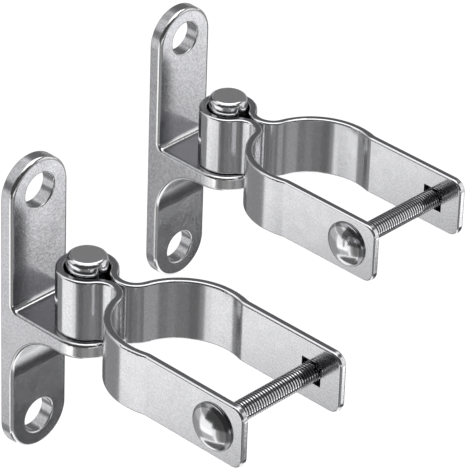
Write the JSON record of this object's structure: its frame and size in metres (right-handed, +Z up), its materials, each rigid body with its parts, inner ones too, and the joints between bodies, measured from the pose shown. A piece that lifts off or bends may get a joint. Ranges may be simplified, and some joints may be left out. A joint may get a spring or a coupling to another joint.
{
  "type": "pair of gate hinges",
  "caption": "Lift-off gate hinges: a post plate with an upright pin, and a bent steel strap that turns on the pin and is clamped round a gate's tube by a carriage bolt.",
  "frame": {"origin": "middle of the front bracket's back face, half way between its two bolt holes", "axes": "+X out from the post, along the straps; +Z up along the pins; +Y towards the rear hinge"},
  "size_m": [0.217, 0.2246, 0.1557],
  "materials": {
    "bracket_steel": "cast steel, tumbled to a fine satin grain",
    "pin_steel": "turned and polished",
    "strap_steel": "cold-rolled strip, smooth satin with a faint grain",
    "bolt_steel": "polished head, rolled thread",
    "nut_steel": "bright, machined"
  },
  "bodies": {
    "post_brackets": {"front_bracket": "bracket_steel", "front_pintle_pin": "pin_steel", "rear_bracket": "bracket_steel", "rear_pintle_pin": "pin_steel"},
    "front_strap": {"front_clamp_strap": "strap_steel", "front_carriage_bolt": "bolt_steel", "front_hex_nut": "nut_steel"},
    "rear_strap": {"rear_clamp_strap": "strap_steel", "rear_carriage_bolt": "bolt_steel", "rear_hex_nut": "nut_steel"}
  },
  "joints": [
    {"name": "front_swing", "type": "hinge", "parent": "post_brackets", "child": "front_strap", "pos_m": [0.0315, 0, 0.0034], "axis": [0, 0, 1], "range_deg": [-115, 115]},
    {"name": "rear_swing", "type": "hinge", "parent": "post_brackets", "child": "rear_strap", "pos_m": [-0.0477, 0.157, -0.0243], "axis": [0, 0, 1], "range_deg": [-115, 115]}
  ]
}
